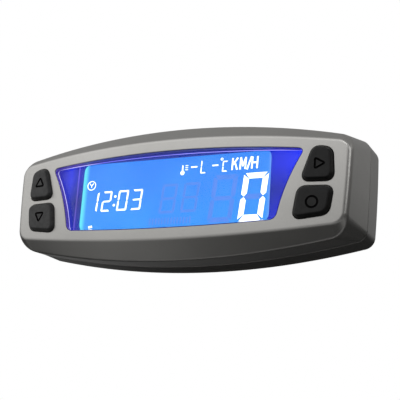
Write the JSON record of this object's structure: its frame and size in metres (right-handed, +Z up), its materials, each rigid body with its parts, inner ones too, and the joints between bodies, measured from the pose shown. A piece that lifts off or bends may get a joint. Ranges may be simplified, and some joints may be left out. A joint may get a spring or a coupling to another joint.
{
  "type": "motorcycle digital instrument cluster",
  "caption": "Bar-shaped digital instrument cluster for a motorcycle: convex face, backlit segment display behind a clear lens, and rubber keys at both ends.",
  "frame": {"origin": "centre of the flat mounting pad on the back", "axes": "+X to the right as the rider sees the face, +Y out of the back and away from the rider, +Z up"},
  "size_m": [0.1378, 0.0378, 0.0504],
  "materials": {
    "case_paint": "satin metallic warm grey paint",
    "seal_rubber": "matte dark grey",
    "bright_steel": "zinc plated",
    "insert_brass": "machined",
    "lens_clear": "clear gloss",
    "mask_plastic": "deep blue, lit from the side",
    "display_film": "thin polariser film",
    "display_glass": "clear, backlit blue",
    "light_guide_clear": "clear acrylic",
    "white_plastic": "matte white",
    "board_green": "green solder resist",
    "chip_black": "matte black",
    "key_rubber": "matte black"
  },
  "bodies": {
    "cluster": {"front_case": "case_paint", "rear_case": "case_paint", "case_seal": "seal_rubber", "case_screw_1": "bright_steel", "case_screw_2": "bright_steel", "case_screw_3": "bright_steel", "case_screw_4": "bright_steel", "case_screw_5": "bright_steel", "case_screw_6": "bright_steel", "mount_insert_left": "insert_brass", "mount_insert_right": "insert_brass", "cable_gland": "seal_rubber", "lens": "lens_clear", "lens_seal": "seal_rubber", "display_mask": "mask_plastic", "lcd_front_film": "display_film", "lcd_front_glass": "display_glass", "lcd_rear_glass": "display_glass", "lcd_rear_film": "display_film", "light_guide": "light_guide_clear", "light_reflector": "white_plastic", "display_holder": "white_plastic", "contact_strip_upper": "seal_rubber", "contact_strip_lower": "seal_rubber", "backlight_led_left_upper": "white_plastic", "backlight_led_left_lower": "white_plastic", "backlight_led_right_upper": "white_plastic", "backlight_led_right_lower": "white_plastic", "main_board": "board_green", "board_screw_1": "bright_steel", "board_screw_2": "bright_steel", "board_screw_3": "bright_steel", "board_screw_4": "bright_steel", "microcontroller": "chip_black", "clock_crystal": "bright_steel", "supply_capacitor": "chip_black", "voltage_regulator": "chip_black", "harness_header": "white_plastic", "switch_body_up": "chip_black", "switch_body_down": "chip_black", "switch_body_right": "chip_black", "switch_body_set": "chip_black", "keypad_boot_left": "seal_rubber", "keypad_boot_right": "seal_rubber"},
    "up_key": {"key_up": "key_rubber"},
    "down_key": {"key_down": "key_rubber"},
    "right_key": {"key_right": "key_rubber"},
    "set_key": {"key_set": "key_rubber"},
    "up_plunger": {"switch_plunger_up": "bright_steel"},
    "down_plunger": {"switch_plunger_down": "bright_steel"},
    "right_plunger": {"switch_plunger_right": "bright_steel"},
    "set_plunger": {"switch_plunger_set": "bright_steel"}
  },
  "joints": [
    {"name": "up_key_press", "type": "slide", "parent": "cluster", "child": "up_key", "axis": [0, 1, 0], "range_m": [0, 0.0005], "stiffness_N_per_m": 3000, "springref_m": -0.0003},
    {"name": "down_key_press", "type": "slide", "parent": "cluster", "child": "down_key", "axis": [0, 1, 0], "range_m": [0, 0.0005], "stiffness_N_per_m": 3000, "springref_m": -0.0003},
    {"name": "right_key_press", "type": "slide", "parent": "cluster", "child": "right_key", "axis": [0, 1, 0], "range_m": [0, 0.0005], "stiffness_N_per_m": 3000, "springref_m": -0.0003},
    {"name": "set_key_press", "type": "slide", "parent": "cluster", "child": "set_key", "axis": [0, 1, 0], "range_m": [0, 0.0005], "stiffness_N_per_m": 3000, "springref_m": -0.0003},
    {"name": "up_plunger_press", "type": "slide", "parent": "cluster", "child": "up_plunger", "axis": [0, 1, 0], "range_m": [0, 0.00025]},
    {"name": "down_plunger_press", "type": "slide", "parent": "cluster", "child": "down_plunger", "axis": [0, 1, 0], "range_m": [0, 0.00025]},
    {"name": "right_plunger_press", "type": "slide", "parent": "cluster", "child": "right_plunger", "axis": [0, 1, 0], "range_m": [0, 0.00025]},
    {"name": "set_plunger_press", "type": "slide", "parent": "cluster", "child": "set_plunger", "axis": [0, 1, 0], "range_m": [0, 0.00025]}
  ],
  "couplings": [
    {"joint": "up_plunger_press", "follows": "up_key_press", "ratio": 0.5},
    {"joint": "down_plunger_press", "follows": "down_key_press", "ratio": 0.5},
    {"joint": "right_plunger_press", "follows": "right_key_press", "ratio": 0.5},
    {"joint": "set_plunger_press", "follows": "set_key_press", "ratio": 0.5}
  ]
}
